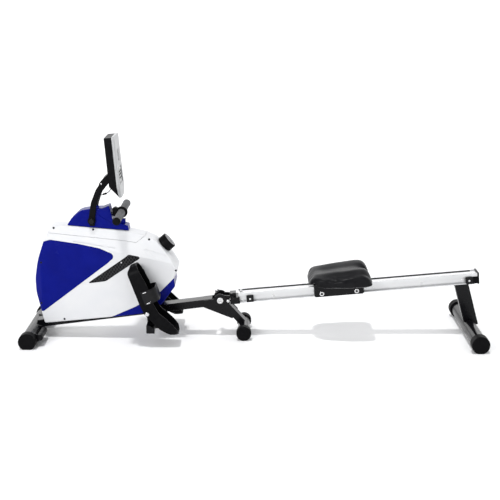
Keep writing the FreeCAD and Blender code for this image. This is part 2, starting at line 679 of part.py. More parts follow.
def pedal_axle():
    """Cross tube on the main beam that ends in the two pedal shafts and their stop brackets."""
    x, z = PEDAL_PIVOT
    inner = PEDAL_MID - PEDAL_HALF - 2
    tube = rod(x, z, 12.5, -inner, inner)
    shaft = rod(x, z, 8, -PEDAL_MID - PEDAL_HALF - 2, PEDAL_MID + PEDAL_HALF + 2)
    axle = tube.fuse(shaft)
    for side in (-1, 1):
        low, high = sorted((side * 84, side * 91))
        arm = prism([(x - 13, z), (x - 9, 52, 3), (x + 44, 50, 3), (x + 44, 62, 3), (x + 26, 78, 6),
                     (x + 13, z)], low, high)
        low, high = sorted((side * 84, side * 168))
        block = prism([(x - 8, 52, 4), (x + 26, 52, 4), (x + 26, 72, 3), (x + 8, 84, 4), (x - 8, 90, 4)],
                      low, high)
        axle = axle.fuse(arm).fuse(block)
    axle = axle.removeSplitter()
    return axle.cut(beam_solid(-960, -140, BEAM_W / 2))


def pedal_bolts():
    x, z = PEDAL_PIVOT
    end = PEDAL_MID + PEDAL_HALF + 2
    head = soften(rod(x, z, 8.8, -end - 6, -end), 2.5, lambda e: abs(e.CenterOfMass.y + end + 6) < 0.1)
    return both_sides(head)


# ---------------------------------------------------------------- transport wheels
WHEEL = (-877.5, 37.0)
WHEEL_R = 13.5
WHEEL_SPAN = (69.0, 177.0)     # the rollers' two ends, out from the mid-plane


def transport_wheel_brackets():
    """A saddle over the rear of the front tube on each side, with two plates for the roller's pin."""
    tube_z = STABILISER_R + 1
    inner, outer = WHEEL_SPAN[0] - 5, WHEEL_SPAN[1] + 5
    saddle = rod(FRONT_FOOT_X, tube_z, STABILISER_R + 4, -outer, -inner)
    saddle = saddle.common(prism([(-924, 70), (FRONT_FOOT_X, tube_z), (-886, 48), (-886, 70)], -outer, -inner))
    plate = [(-893, 22), (WHEEL[0], WHEEL[1] - 13, 9), (WHEEL[0] + 13, WHEEL[1], 9),
             (WHEEL[0], WHEEL[1] + 14, 9), (-908, 60, 4), (-910, 40)]
    for low in (-outer, -inner - 4):
        saddle = saddle.fuse(prism(plate, low, low + 4))
    saddle = saddle.fuse(rod(WHEEL[0], WHEEL[1], 3.95, -outer, -inner))
    saddle = saddle.cut(rod(FRONT_FOOT_X, tube_z, STABILISER_R, -300, 300))
    return both_sides(saddle.removeSplitter())


def transport_wheel(side):
    """A long rubber roller behind the front tube, with a shallow groove round its middle."""
    low, high = sorted((side * WHEEL_SPAN[0], side * WHEEL_SPAN[1]))
    wheel = rod(WHEEL[0], WHEEL[1], WHEEL_R, low, high)
    wheel = soften(wheel, 2, lambda e: e.Length > 60)
    middle = (low + high) / 2
    wheel = wheel.cut(rod(WHEEL[0], WHEEL[1], WHEEL_R + 1, middle - 1.5, middle + 1.5, WHEEL_R - 2))
    return wheel.cut(rod(WHEEL[0], WHEEL[1], 4, -300, 300))


# ---------------------------------------------------------------- rail
def rail():
    """Aluminium extrusion with a lipped top and a roller groove down each side."""
    half = RAIL_W / 2
    body = box(0, RAIL_L - 5, -half, half, 0, RAIL_H)
    body = soften(body, 1.5, lambda e: e.Length > 900)
    body = body.cut(box(-1, RAIL_L, -half + 5, half - 5, RAIL_H - 4, RAIL_H + 1))
    for side in (-1, 1):
        low, high = sorted((side * (half - GROOVE_DEPTH), side * (half + 1)))
        body = body.cut(box(-1, RAIL_L, low, high, GROOVE_LOW, GROOVE_HIGH))
    body = body.cut(box(-1, RAIL_L, -half + GROOVE_DEPTH + 3, half - GROOVE_DEPTH - 3, 3, RAIL_H - 7))
    return on_rail(body)


def rail_inlays():
    """Two black strips let into the top between the lips."""
    low = RAIL_H - 4
    strip = box(2, RAIL_L - 26, 19, 27.5, low, low + 2.2)
    return [on_rail(shape) for shape in both_sides(strip)]


def rail_hinge_bracket():
    """Black steel bracket: two cheeks on the pivot and a ribbed sleeve round the rail's end."""
    half = RAIL_W / 2
    top = 27.0
    sleeve = box(-36, 4, -half - 3, half + 3, -1.5, top)
    sleeve = soften(sleeve, 3, lambda e: 50 < e.Length < 70)
    for i in range(4):
        x = -33 + 8 * i
        sleeve = sleeve.cut(box(x, x + 3, -half - 4, -half - 1.6, -1, top - 2))
        sleeve = sleeve.cut(box(x, x + 3, half + 1.6, half + 4, -1, top - 2))
    sleeve = sleeve.cut(box(-1, 60, -half, half, 0, 100))
    sleeve = sleeve.cut(box(-60, -1, -half + 1, half - 1, 2.5, 100))
    bridge = box(-36, -1, -half - 3, half + 3, top - 4, top)
    block = soften(box(-36, -10, -22, 22, top, RAIL_H - 2), 3, lambda e: e.CenterOfMass.z > RAIL_H - 3)
    sleeve = on_rail(sleeve.fuse(bridge).fuse(block))
    x, z = HINGE
    arm = [(x, z + 20), (x, z - 8), (x + 26, z + 5), (x + 45, z + 7), (x + 60, z - 4), (x + 60, z + 18)]
    cheeks = None
    for side in (-1, 1):
        low, high = sorted((side * 23, side * 29))
        cheek = prism(arm, low, high).fuse(rod(x, z, 23, low, high))
        cheeks = cheek if cheeks is None else cheeks.fuse(cheek)
    hub = rod(x, z, 14, -24, 24)
    whole = sleeve.fuse(cheeks).fuse(hub)
    whole = whole.cut(rod(x, z, 8.05, -60, 60))
    whole = whole.cut(on_rail(box(-0.5, 200, -half, half, 0, 100)))
    return whole.removeSplitter()


def rail_end_cap():
    half = RAIL_W / 2
    cap = box(RAIL_L - 5, RAIL_L + 2, -half - 1.5, half + 1.5, -1.5, RAIL_H + 2.5)
    cap = soften(cap, 2, lambda e: abs(e.CenterOfMass.x - RAIL_L - 2) < 0.1)
    plugs = []
    for side in (-1, 1):
        low, high = sorted((side * (half - GROOVE_DEPTH + 0.3), side * (half + 1.2)))
        plugs.append(box(RAIL_L - 23, RAIL_L - 4, low, high, GROOVE_LOW + 0.3, GROOVE_HIGH - 0.3))
        low, high = sorted((side * half, side * (half + 5)))
        plugs.append(box(RAIL_L - 25, RAIL_L - 4, low, high, GROOVE_LOW - 2, GROOVE_HIGH - 1))
    return on_rail(joined([cap] + plugs))


def rail_stops():
    """Rubber blocks that stop the carriage, one on each side near each end."""
    half = RAIL_W / 2
    blocks = []
    for middle in (STOP_FRONT, STOP_REAR):
        block = box(middle - 15, middle + 15, -half - 8, -half, GROOVE_LOW - 1, GROOVE_LOW + 28)
        block = soften(block, 4, lambda e: abs(e.Length - 8) < 0.1)
        key = box(middle - 10, middle + 10, -half - 1, -half + 10, GROOVE_LOW + 0.5, GROOVE_HIGH - 0.5)
        block = block.fuse(key).removeSplitter()
        blocks += [on_rail(shape) for shape in both_sides(block)]
    return blocks


def rail_screws():
    """Silver screws: one in each stop block, four along each groove and two hex bolts on top."""
    half = RAIL_W / 2
    screws = []
    for middle in (STOP_FRONT, STOP_REAR):
        screw = Part.makeCylinder(4.2, 2.2, V(middle, -half - 8, 17), V(0, -1, 0))
        screws += [on_rail(shape) for shape in both_sides(screw)]
    back = half - GROOVE_DEPTH
    for x in (148, 565, 773, 948):
        screw = Part.makeCylinder(3.6, 1.6, V(x, -back, 17), V(0, -1, 0))
        screws += [on_rail(shape) for shape in both_sides(screw)]
    bolt = hex_head(0, 0, 10, 0, 6)
    bolt.rotate(V(0, 0, 0), V(1, 0, 0), 90)
    bolt.translate(V(12, -12, RAIL_H - 4))
    screws += [on_rail(shape) for shape in both_sides(bolt)]
    return screws


POST_TOP = (881.0, 221.5)
POST_LEAN = math.radians(15.5)


def rear_post():
    """Flat rectangular post under the rail, with its top flange, leaning out to the rear foot."""
    down = V(math.sin(POST_LEAN), 0, -math.cos(POST_LEAN))
    across = V(math.cos(POST_LEAN), 0, math.sin(POST_LEAN))
    top = V(POST_TOP[0], 0, POST_TOP[1])
    corner = [top - across * 29 - down * 20, top + across * 29 - down * 20,
              top + across * 29 + down * 190, top - across * 29 + down * 190]
    post = prism([(p.x, p.z) for p in corner], -15, 15)
    post = soften(post, 4, lambda e: e.Length > 190)
    slim = [top - across * 26.5 - down * 40, top + across * 26.5 - down * 40,
            top + across * 26.5 + down * 230, top - across * 26.5 + down * 230]
    post = post.cut(prism([(p.x, p.z) for p in slim], -12.5, 12.5))
    post = post.cut(on_rail(box(-200, RAIL_L + 100, -60, 60, -4, 100)))
    flange = box(905, 995, -24, 24, -4, 0)
    flange = on_rail(soften(flange, 8, lambda e: abs(e.Length - 4) < 0.1))
    whole = post.fuse(flange)
    return whole.cut(rod(REAR_FOOT_X, 35, STABILISER_R, -60, 60)).removeSplitter()


def rear_stabiliser_tube():
    end = REAR_HALF - 4
    return rod(REAR_FOOT_X, 35, STABILISER_R, -end, end, STABILISER_R - 2)


def rear_foot_caps():
    return both_sides(foot_cap(REAR_FOOT_X, 35, 37, REAR_HALF, 42, STABILISER_R))


# ---------------------------------------------------------------- seat
SEAT_X0, SEAT_X1 = 230.0, 498.0
SEAT_Z, SEAT_EDGE_Z = 240.0, 232.0    # underside on the pan, and of the edges round it
SEAT_HALF = 143.0


def seat_carriage():
    """Steel pan under the pad with a folded side plate down each side of the rail."""
    inner, outer = 36.0, 39.0
    shapes = []
    for side in (-1, 1):
        low, high = sorted((side * inner, side * outer))
        plate = box(CARRIAGE[0], CARRIAGE[1], low, high, -1, 90)
        plate = soften(plate, 8, lambda e: abs(e.Length - 3) < 0.1 and e.CenterOfMass.z < 5)
        plate = on_rail(plate)
        shapes.append(plate.cut(box(0, 700, -100, 100, SEAT_Z - 2, 400)))
    pan = box(SEAT_X0 + 22, SEAT_X1 - 16, -104, 104, SEAT_Z - 3, SEAT_Z)
    pan = soften(pan, 20, lambda e: abs(e.Length - 3) < 0.1)
    carriage = joined(shapes + [pan])
    for x in ROLLER_X:
        hole = on_rail(Part.makeCylinder(4, 200, V(x, -100, ROLLER_Z), Y_AXIS))
        carriage = carriage.cut(hole)
    return carriage


def seat_rollers(x):
    """The two rollers of one axle line, one in each groove of the rail."""
    roller = Part.makeCylinder(ROLLER_R, 9.5, V(x, -32, ROLLER_Z), Y_AXIS)
    roller = soften(roller, 1, lambda e: e.Length > 20)
    roller = roller.cut(Part.makeCylinder(4.03, 20, V(x, -40, ROLLER_Z), Y_AXIS))
    return [on_rail(shape) for shape in both_sides(roller)]


def roller_bolts():
    bolts = []
    for x in ROLLER_X:
        shank = Part.makeCylinder(3.97, 17.5, V(x, -39.5, ROLLER_Z), Y_AXIS)
        head = Part.makeCylinder(10, 4.5, V(x, -43.5, ROLLER_Z), Y_AXIS)
        head = soften(head, 1.5, lambda e: abs(e.CenterOfMass.y + 43.5) < 0.1)
        socket = Part.makeCylinder(5, 3, V(x, -44, ROLLER_Z), Y_AXIS)
        bolt = head.cut(socket).fuse(shank).removeSplitter()
        bolts += [on_rail(shape) for shape in both_sides(bolt)]
    return bolts


def seat_pad():
    """Level cushion, low at the front and raised behind, as one plain closed solid."""
    side = [(SEAT_X0 + 6, SEAT_EDGE_Z, 6), (SEAT_X0, 256, 12), (SEAT_X0 + 14, 268, 18),
            (SEAT_X0 + 120, 272, 120), (SEAT_X1 - 45, 293, 30), (SEAT_X1 - 14, 288, 16),
            (SEAT_X1, 256, 14), (SEAT_X1 - 12, SEAT_EDGE_Z, 8)]
    pad = prism(side, -SEAT_HALF, SEAT_HALF)
    ground = [(SEAT_X0, -SEAT_HALF + 26, 70), (SEAT_X0, SEAT_HALF - 26, 70),
              (SEAT_X1 - 90, SEAT_HALF, 70), (SEAT_X1, SEAT_HALF - 12, 60),
              (SEAT_X1, -SEAT_HALF + 12, 60), (SEAT_X1 - 90, -SEAT_HALF, 70)]
    plan = Part.Face(rounded_wire(ground))
    plan.rotate(V(0, 0, 0), V(1, 0, 0), -90)
    plan.translate(V(0, 0, SEAT_Z - 20))
    plan = plan.extrude(V(0, 0, 120))
    pad = pad.common(plan)
    pad = soften(pad, 8, lambda e: e.CenterOfMass.z > SEAT_Z + 4 and e.Length > 12)
    return pad.cut(box(SEAT_X0 - 10, SEAT_X1 + 10, -106, 106, SEAT_EDGE_Z - 10, SEAT_Z))


# ---------------------------------------------------------------- console
def console_yoke():
    """Two curved arms that straddle the cradle and meet behind the console."""
    x, z = YOKE_PIVOT
    outline = [(x - 9, 478, 4), (x - 12, z + 10, 30), (x - 1, 575, 60), (x + 20, 628, 90),
               (x + 52, 676, 60), (x + 75, 697, 4), (x + 78, 660, 4), (x + 62, 641, 40),
               (x + 38, 612, 90), (x + 21, 560, 60), (x + 13, z, 30), (x + 12, 478, 4)]
    parts = []
    for side in (-1, 1):
        low, high = sorted((side * 34, side * 44))
        arm = prism(outline, low, high)
        arm = soften(arm, 3, lambda e: abs(abs(e.CenterOfMass.y) - 44) < 0.1)
        low, high = sorted((side * 33.6, side * 47))
        arm = arm.fuse(soften(rod(x, z, 16, low, high), 2, lambda e: True))
        parts.append(arm)
    head = [(x + 22, 640, 10), (x + 52, 676, 60), (x + 75, 697, 4), (x + 78, 660, 4), (x + 62, 641, 20)]
    parts.append(prism(head, -35, 35))
    yoke = joined(parts)
    yoke = yoke.cut(rod(x, z, 6, -60, 60))
    slot = box(TILT_PIVOT[0] - 14, TILT_PIVOT[0] + 60, -22, 22, 630, 720)
    yoke = yoke.cut(slot)
    for tilt in (-CONSOLE_TILT, 0, CONSOLE_TILT):
        room = lean(box(-CONSOLE_DEPTH - 0.6, 60, -90, 90, -20, 280))
        room.rotate(V(TILT_PIVOT[0], 0, TILT_PIVOT[1]), Y_AXIS, tilt)
        yoke = yoke.cut(room)
    return yoke.fuse(rod(TILT_PIVOT[0], TILT_PIVOT[1], 3.95, -34, 34)).removeSplitter()


def yoke_bolt():
    x, z = YOKE_PIVOT
    bolt = rod(x, z, 5.95, -50, 50)
    for side in (-1, 1):
        low, high = sorted((side * 47, side * 52))
        bolt = bolt.fuse(soften(rod(x, z, 11, low, high), 1.5, lambda e: True))
    return bolt.removeSplitter()


def lean(shape):
    """Lean a console shape, made upright with its face at x = 0, back to its place."""
    shape = shape.copy()
    shape.rotate(V(0, 0, 0), Y_AXIS, -CONSOLE_LEAN)
    shape.translate(V(CONSOLE_BASE[0], 0, CONSOLE_BASE[1]))
    return shape


def console_front(half_top, half_low, low, top, x0, x1, radius):
    """A slab with the console's outline: narrow at the top, widest low down, cut lower corners."""
    outline = [(-half_top, top, radius), (-half_low, low + 48, radius), (-half_low + 34, low, radius),
               (half_low - 34, low, radius), (half_low, low + 48, radius), (half_top, top, radius)]
    face = Part.Face(rounded_wire(outline))
    face.rotate(V(0, 0, 0), V(0, 0, 1), 90)
    face.translate(V(x0, 0, 0))
    return face.extrude(V(x1 - x0, 0, 0))


def console_chamfer(raised):
    """The wedge cut away under the console's rear housing."""
    return prism([(-80, 134.8 + raised), (-2, 4 + raised), (-2, -40), (-80, -40)], -100, 100)


def console_back():
    """Black rear housing with a chamfered underside and a tilt knuckle."""
    body = console_front(75, 84, 2, 252, -CONSOLE_DEPTH, -2, 8).cut(console_chamfer(0))
    body = soften(body, 5, lambda e: abs(e.CenterOfMass.x + CONSOLE_DEPTH) < 0.1)
    cavity = console_front(71, 80, 6, 248, 5 - CONSOLE_DEPTH, 0, 6).cut(console_chamfer(8))
    body = lean(body.cut(cavity))
    x, z = TILT_PIVOT
    knuckle = prism([(x, z - 12, 0), (x + 30, z - 16), (x + 30, z + 20), (x, z + 12)], -21, 21)
    knuckle = knuckle.fuse(rod(x, z, 12, -21, 21))
    knuckle = knuckle.cut(lean(box(0.5 - CONSOLE_DEPTH, 60, -90, 90, -20, 280)))
    back = body.fuse(knuckle).cut(rod(x, z, 4, -60, 60))
    lead_hole = Part.makeCylinder(LEAD_R + 0.3, 50, V(*LEAD_BEND), V(*LEAD_START) - V(*LEAD_BEND))
    return back.cut(lead_hole).removeSplitter()


def console_bezel():
    """Light front bezel with windows for the display and the keypad."""
    front = BEZEL_DEPTH
    body = console_front(75, 84, 0, 254, -2, front, 8)
    body = soften(body, 3, lambda e: abs(e.CenterOfMass.x - front) < 0.1)
    body = body.cut(box(front - 3, 20, -46, 46, 58, 122))
    body = body.cut(box(front - 2, 20, -22, 22, 146, 196))
    body = body.cut(console_front(71, 80, 4, 250, -10, front - 5, 5))
    return lean(body)


def console_display():
    return lean(box(BEZEL_DEPTH - 3, BEZEL_DEPTH - 1.6, -45.7, 45.7, 58.3, 121.7))


def console_keypad():
    pad = box(BEZEL_DEPTH - 2, BEZEL_DEPTH - 0.4, -21.7, 21.7, 146.3, 195.7)
    return lean(soften(pad, 0.6, lambda e: e.Length > 40))


def console_lead():
    """Short lead from the console's underside to its plug in the yoke's left arm."""
    start, bend, end = V(*LEAD_START), V(*LEAD_BEND), V(*LEAD_END)
    first = Part.makeCylinder(LEAD_R, (bend - start).Length, start, bend - start)
    second = Part.makeCylinder(LEAD_R, (end - bend).Length + 4, bend, end - bend)
    run = (end - bend).normalize()
    plug = Part.makeCylinder(4, 18, bend + run * 4, run)
    lead = joined([first, second, Part.makeSphere(LEAD_R, bend), plug])
    return lead.common(box(-700, -500, LEAD_END[1], 20, 560, 700))


# ---------------------------------------------------------------- the whole machine
def main():
    os.makedirs("parts", exist_ok=True)
    save("main_beam", main_beam())
    save("front_stabiliser_tube", front_stabiliser_tube())
    save("front_foot_caps", front_foot_caps())
    save("mid_leg", mid_leg())
    save("gusset_plates", gusset_plates())
    save("mid_stand_tube", mid_stand_tube())
    save("mid_stand_caps", mid_stand_caps())
    save("hinge_bolts", hinge_bolts())
    save("lock_plunger", lock_plunger())
    for name, shapes in housing_pieces().items():
        save(name, shapes)
    save("side_caps", side_caps())
    save("shroud_screws", shroud_screws())
    save("inner_frame", inner_frame())
    save("flywheel", flywheel())
    save("strap_drum", strap_drum())
    save("strap_idler", strap_idler())
    save("pull_strap", pull_strap())
    save("tension_knob", tension_knob())
    save("knob_face", knob_face())
    save("handle_cradle", handle_cradle())
    save("handle_bar", handle_bar())
    save("handle_grips", handle_grips())
    save("handle_end_caps", handle_end_caps())
    save("handle_ring", handle_ring())
    left = pedal()
    save("left_pedal", left)
    save("right_pedal", mirrored(left))
    strap = foot_strap()
    save("left_foot_strap", strap)
    save("right_foot_strap", mirrored(strap))
    save("pedal_axle", pedal_axle())
    save("pedal_bolts", pedal_bolts())
    save("transport_wheel_brackets", transport_wheel_brackets())
    save("left_transport_wheel", transport_wheel(-1))
    save("right_transport_wheel", transport_wheel(1))
    save("rail", rail())
    save("rail_inlays", rail_inlays())
    save("rail_hinge_bracket", rail_hinge_bracket())
    save("rail_end_cap", rail_end_cap())
    save("rail_stops", rail_stops())
    save("rail_screws", rail_screws())
    save("rear_post", rear_post())
    save("rear_stabiliser_tube", rear_stabiliser_tube())
    save("rear_foot_caps", rear_foot_caps())
    save("seat_carriage", seat_carriage())
    save("front_seat_rollers", seat_rollers(ROLLER_X[0]))
    save("rear_seat_rollers", seat_rollers(ROLLER_X[1]))
    save("roller_bolts", roller_bolts())
    save("seat_pad", seat_pad())
    save("console_yoke", console_yoke())
    save("yoke_bolt", yoke_bolt())
    save("console_back", console_back())
    save("console_bezel", console_bezel())
    save("console_display", console_display())
    save("console_keypad", console_keypad())
    save("console_lead", console_lead())


main()
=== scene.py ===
"""Looks of the folding rowing machine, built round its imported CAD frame.

Lengths are in metres, but for the seat's outline tables and what reads them, in millimetres.
X runs from the front stand to the rear one, Z is up, and the rower's left is at negative Y.
"""
import bpy
import bmesh
import json
import math
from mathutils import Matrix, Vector


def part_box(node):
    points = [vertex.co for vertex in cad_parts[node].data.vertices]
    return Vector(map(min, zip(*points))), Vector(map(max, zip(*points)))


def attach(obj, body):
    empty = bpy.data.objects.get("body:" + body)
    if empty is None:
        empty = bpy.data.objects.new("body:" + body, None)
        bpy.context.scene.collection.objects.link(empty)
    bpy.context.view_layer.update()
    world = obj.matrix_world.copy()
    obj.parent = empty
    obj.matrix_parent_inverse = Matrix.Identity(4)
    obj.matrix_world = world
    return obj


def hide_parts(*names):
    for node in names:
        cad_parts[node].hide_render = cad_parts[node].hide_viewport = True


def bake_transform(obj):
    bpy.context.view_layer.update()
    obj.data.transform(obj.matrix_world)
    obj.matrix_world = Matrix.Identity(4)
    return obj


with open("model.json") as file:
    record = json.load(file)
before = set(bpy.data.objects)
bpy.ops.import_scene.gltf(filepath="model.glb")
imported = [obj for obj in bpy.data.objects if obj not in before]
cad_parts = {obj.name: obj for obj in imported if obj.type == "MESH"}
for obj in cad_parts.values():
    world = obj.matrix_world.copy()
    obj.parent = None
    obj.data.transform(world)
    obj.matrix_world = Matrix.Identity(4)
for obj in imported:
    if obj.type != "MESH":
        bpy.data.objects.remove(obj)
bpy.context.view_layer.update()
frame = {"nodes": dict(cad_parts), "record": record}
nodes = frame["nodes"]
scene = bpy.context.scene


# ---------------------------------------------------------------- camera, floor and light
CAMERA_PLACE = (-0.011, -4.487, 1.463)
CAMERA_DIP = math.radians(13.74)
CAMERA_LENS = 79.2

FLOOR_REACH = 160.0
SUN_STRENGTH = 1.45
SUN_SPREAD = math.radians(4.5)
SUN_TURN = (math.radians(5), math.radians(-6), 0)
SKY_COLOUR = (0.97, 0.98, 1.0, 1)
SKY_STRENGTH = 0.45

# Soft panels: name, place, the point each one faces, its two sides, and its power in watts.
PANELS = [
    ("far_floor", (0, 80, 12), (0, 80, 0), (140, 144), 62000),
    ("back", (-0.2, 5.6, 2.2), (-0.1, 0, 0.3), (9.0, 2.2), 30),
    ("key", (-2.6, -4.6, 2.2), (-0.3, 0, 0.3), (2.2, 1.4), 150),
    ("side", (4.2, -0.6, 1.6), (0, 0, 0.3), (1.4, 1.8), 22),
]


def make_camera():
    data = bpy.data.cameras.new("camera")
    data.sensor_width = 36.0
    data.lens = CAMERA_LENS
    camera = bpy.data.objects.new("camera", data)
    camera.location = CAMERA_PLACE
    camera.rotation_euler = (math.radians(90) - CAMERA_DIP, 0, 0)
    scene.collection.objects.link(camera)
    scene.camera = camera


def make_panel(name, place, target, size, power):
    data = bpy.data.lights.new(name, "AREA")
    data.shape = "RECTANGLE"
    data.size, data.size_y = size
    data.energy = power
    light = bpy.data.objects.new(name, data)
    light.visible_camera = False
    light.location = place
    light.rotation_euler = (Vector(target) - Vector(place)).to_track_quat("-Z", "Y").to_euler()
    scene.collection.objects.link(light)


def make_stage():
    """A wide white floor under a small sun, with large soft panels round it."""
    mesh = bpy.data.meshes.new("floor")
    corners = [(x * FLOOR_REACH, y * FLOOR_REACH, 0) for x, y in ((-1, -1), (1, -1), (1, 1), (-1, 1))]
    mesh.from_pydata(corners, [], [(0, 1, 2, 3)])
    floor = bpy.data.objects.new("floor", mesh)
    scene.collection.objects.link(floor)
    mesh.materials.append(finish("floor_paper", (0.96, 0.96, 0.96), (0.94, 0.94, 0.945), rough=0.9,
                                 mottle=0.8, specular=0.0, edge=0))
    sun = bpy.data.lights.new("overhead", "SUN")
    sun.energy = SUN_STRENGTH
    sun.angle = SUN_SPREAD
    lamp = bpy.data.objects.new("overhead", sun)
    lamp.rotation_euler = SUN_TURN
    scene.collection.objects.link(lamp)
    for panel in PANELS:
        make_panel(*panel)
    world = bpy.data.worlds.new("sky")
    world.use_nodes = True
    sky = world.node_tree.nodes["Background"]
    sky.inputs["Color"].default_value = SKY_COLOUR
    sky.inputs["Strength"].default_value = SKY_STRENGTH
    scene.world = world
    scene.view_settings.view_transform = "Standard"


# ---------------------------------------------------------------- materials
COAT_ROUGHNESS = 0.05
EDGE_SAMPLES = 4
SMEAR_SHARE = 0.37


def finish(name, light, dark, rough, metallic=0.0, spread=0.08, mottle=60.0, grain=(), specular=0.5,
           coat=0.0, sheen=0.0, edge=0.0006):
    """A surface whose colour and roughness wander slightly, with an optional grain in relief.

    light and dark are the two ends of the colour, rough and spread the middle and the swing of
    the roughness, and mottle the scale of the blotches. grain is a list of (kind, scale, depth in
    metres). edge is the radius that sharp edges are shaded with.
    """
    material = bpy.data.materials.new(name)
    material.use_nodes = True
    tree = material.node_tree
    shader = tree.nodes["Principled BSDF"]
    shader.inputs["Metallic"].default_value = metallic
    shader.inputs["Specular IOR Level"].default_value = specular
    shader.inputs["Coat Weight"].default_value = coat
    shader.inputs["Coat Roughness"].default_value = COAT_ROUGHNESS
    shader.inputs["Sheen Weight"].default_value = sheen
    place = tree.nodes.new("ShaderNodeTexCoord")

    def texture(kind, scale):
        made = tree.nodes.new(kind)
        made.inputs["Scale"].default_value = scale
        tree.links.new(place.outputs["Object"], made.inputs["Vector"])
        return made

    def noise(scale, detail):
        made = texture("ShaderNodeTexNoise", scale)
        made.inputs["Detail"].default_value = detail
        return made.outputs["Fac"]

    ramp = tree.nodes.new("ShaderNodeValToRGB")
    ramp.color_ramp.elements[0].position = 0.35
    ramp.color_ramp.elements[0].color = (*dark, 1)
    ramp.color_ramp.elements[1].position = 0.65
    ramp.color_ramp.elements[1].color = (*light, 1)
    tree.links.new(noise(mottle, 3.0), ramp.inputs["Fac"])
    tree.links.new(ramp.outputs["Color"], shader.inputs["Base Color"])
    span = tree.nodes.new("ShaderNodeMapRange")
    span.inputs["From Min"].default_value = 0.3
    span.inputs["From Max"].default_value = 0.7
    span.inputs["To Min"].default_value = max(0.02, rough - spread)
    span.inputs["To Max"].default_value = min(1.0, rough + spread)
    tree.links.new(noise(mottle * SMEAR_SHARE, 4.0), span.inputs["Value"])
    tree.links.new(span.outputs["Result"], shader.inputs["Roughness"])
    below = None
    if edge:
        rounding = tree.nodes.new("ShaderNodeBevel")
        rounding.samples = EDGE_SAMPLES
        rounding.inputs["Radius"].default_value = edge
        below = rounding.outputs["Normal"]
    for kind, scale, depth in grain:
        if kind == "noise":
            source = noise(scale, 2.0)
        else:
            source = texture("ShaderNodeTexVoronoi", scale).outputs["Distance"]
        bump = tree.nodes.new("ShaderNodeBump")
        bump.inputs["Strength"].default_value = 1.0
        bump.inputs["Distance"].default_value = depth
        tree.links.new(source, bump.inputs["Height"])
        if below is not None:
            tree.links.new(below, bump.inputs["Normal"])
        below = bump.outputs["Normal"]
    if below is not None:
        tree.links.new(below, shader.inputs["Normal"])
    return material


SURFACES = {
    "black_steel": finish("black_powder_coat", (0.0045, 0.0045, 0.0055), (0.003, 0.003, 0.004), 0.20,
                          grain=[("noise", 900, 0.00002)], specular=0.16, mottle=40, spread=0.05),
    "grey_foot": finish("foot_cap_rubber", (0.0045, 0.0045, 0.0052), (0.003, 0.003, 0.0036), 0.50,
                        grain=[("noise", 900, 0.00008)], specular=0.05, mottle=90),
    "black_plastic": finish("black_moulding", (0.0048, 0.0048, 0.0055), (0.003, 0.003, 0.0036), 0.38,
                            grain=[("voronoi", 1500, 0.00004)], specular=0.05, mottle=70),
    "white_plastic": finish("white_moulding", (0.70, 0.705, 0.717), (0.675, 0.683, 0.70), 0.34,
                            grain=[("noise", 9, 0.0004)], specular=0.12, mottle=14, spread=0.05,
                            edge=0.0012),
    "blue_plastic": finish("blue_moulding", (0.0014, 0.0055, 0.185), (0.0009, 0.0042, 0.160), 0.24,
                           grain=[("noise", 9, 0.0004)], specular=0.06, mottle=14, spread=0.05,
                           edge=0.0012),
    "silver_plastic": finish("silver_grey_moulding", (0.24, 0.24, 0.25), (0.18, 0.18, 0.19), 0.30,
                             metallic=0.35, mottle=60),
    "light_grey_plastic": finish("light_grey_moulding", (0.40, 0.405, 0.41), (0.36, 0.365, 0.37), 0.36,
                                 grain=[("noise", 1500, 0.00003)], mottle=40, edge=0.001),
    "zinc_steel": finish("zinc_plate", (0.70, 0.70, 0.70), (0.54, 0.54, 0.55), 0.24, metallic=1.0,
                         mottle=160),
    "rail_aluminium": finish("anodised_aluminium", (0.72, 0.725, 0.73), (0.66, 0.665, 0.675), 0.30,
                             metallic=0.6, mottle=3, spread=0.03),
    "foam_grip": finish("grey_foam", (0.100, 0.102, 0.108), (0.055, 0.057, 0.061), 0.74,
                        grain=[("voronoi", 900, 0.00030), ("noise", 300, 0.0002)], mottle=240,
                        specular=0.2, sheen=0.1),
    "seat_vinyl": finish("black_seat_skin", (0.009, 0.009, 0.0105), (0.006, 0.006, 0.007), 0.36,
                         grain=[("voronoi", 620, 0.00008), ("noise", 45, 0.0003)], mottle=30,
                         specular=0.09),
    "wheel_rubber": finish("black_rubber", (0.009, 0.009, 0.010), (0.006, 0.006, 0.007), 0.45,
                           grain=[("noise", 1100, 0.00006)], specular=0.16, mottle=90),
    "strap_web": finish("woven_web", (0.020, 0.020, 0.022), (0.009, 0.009, 0.010), 0.8,
                        grain=[("voronoi", 1200, 0.0003)], mottle=500, sheen=0.1),
    "iron": finish("machined_iron", (0.30, 0.29, 0.28), (0.20, 0.195, 0.19), 0.40, metallic=1.0,
                   mottle=120, grain=[("noise", 500, 0.0001)]),
    "display_glass": finish("display_window", (0.060, 0.064, 0.062), (0.042, 0.046, 0.044), 0.14,
                            mottle=20, coat=0.4, spread=0.04),
}
LCD = finish("lcd_segments", (0.125, 0.135, 0.125), (0.095, 0.105, 0.095), 0.25, mottle=60, coat=0.2)
LATTICE = finish("vent_bars", (0.018, 0.018, 0.020), (0.012, 0.012, 0.013), 0.35, mottle=120,
                 specular=0.3)
# Painted shade: the dark in the bolt sockets and on the vent grilles behind the bars, where only shade
# falls. The same dark is also the display readouts' own ink.
SHADE_AND_READOUT_DARK = finish("painted_shade_and_readout_ink", (0.006, 0.006, 0.007), (0.003, 0.003, 0.004), 0.6, mottle=200,
                   specular=0.1)

CAP_SILVER_RADIUS = 0.0225
CAP_RING_COLOUR = (0.010, 0.010, 0.018, 1)


